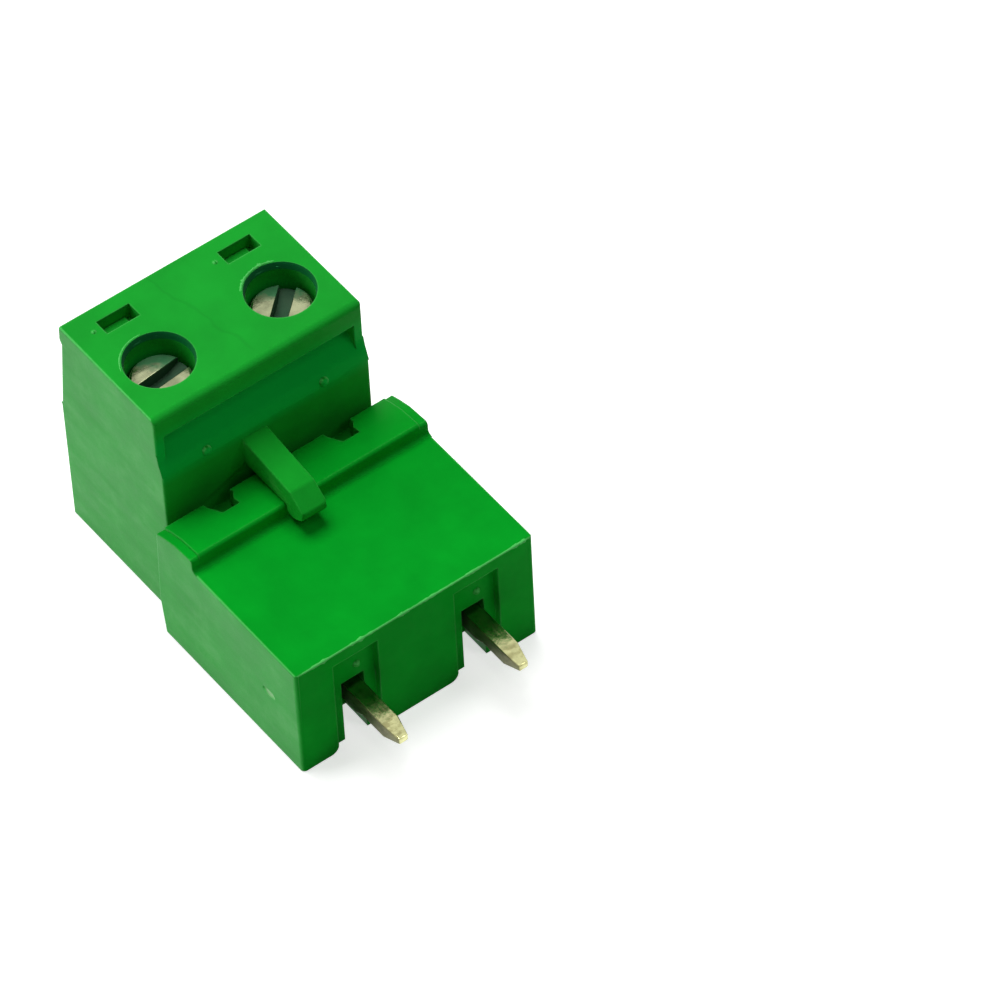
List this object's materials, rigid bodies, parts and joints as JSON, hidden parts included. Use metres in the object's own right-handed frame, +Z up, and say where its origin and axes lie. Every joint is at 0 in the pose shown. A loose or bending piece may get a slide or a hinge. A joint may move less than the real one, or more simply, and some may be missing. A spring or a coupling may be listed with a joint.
{
  "type": "pluggable screw terminal",
  "caption": "Pluggable screw terminal for a circuit board: a stepped plug with rising-cage wire clamps, pushed into a straight closed-end pin header.",
  "frame": {"origin": "under the middle of the whole length and width, on the surface that the terminal lies on", "axes": "+X across the poles, +Y from the wire side to the solder tails, +Z up along the clamping screws"},
  "size_m": [0.015, 0.0256, 0.0151],
  "materials": {
    "plug_plastic": "satin moulded",
    "header_plastic": "satin moulded",
    "zinc_steel": "zinc plated",
    "tinned_contact": "tin plated",
    "tinned_pin": "tin plated"
  },
  "bodies": {
    "header": {"header_housing": "header_plastic", "header_pin_1": "tinned_pin", "header_pin_2": "tinned_pin"},
    "plug": {"plug_housing": "plug_plastic", "wire_entry_insert": "plug_plastic", "spring_contact_1": "tinned_contact", "spring_contact_2": "tinned_contact"},
    "screw_1": {"clamp_screw_1": "zinc_steel"},
    "screw_2": {"clamp_screw_2": "zinc_steel"},
    "cage_1": {"clamp_cage_1": "zinc_steel"},
    "cage_2": {"clamp_cage_2": "zinc_steel"}
  },
  "joints": [
    {"name": "plug_slide", "type": "slide", "parent": "header", "child": "plug", "axis": [0, -1, 0], "range_m": [0, 0.009]},
    {"name": "screw_turn_1", "type": "hinge", "parent": "plug", "child": "screw_1", "pos_m": [0.00381, -0.0072, 0.012], "axis": [0, 0, -1], "range_deg": [0, 1944]},
    {"name": "screw_turn_2", "type": "hinge", "parent": "plug", "child": "screw_2", "pos_m": [-0.00381, -0.0072, 0.012], "axis": [0, 0, -1], "range_deg": [0, 1944]},
    {"name": "cage_lift_1", "type": "slide", "parent": "plug", "child": "cage_1", "axis": [0, 0, 1], "range_m": [0, 0.0027]},
    {"name": "cage_lift_2", "type": "slide", "parent": "plug", "child": "cage_2", "axis": [0, 0, 1], "range_m": [0, 0.0027]}
  ],
  "couplings": [
    {"joint": "screw_turn_1", "follows": "cage_lift_1", "rad_per_m": 12566},
    {"joint": "screw_turn_2", "follows": "cage_lift_2", "rad_per_m": 12566}
  ]
}
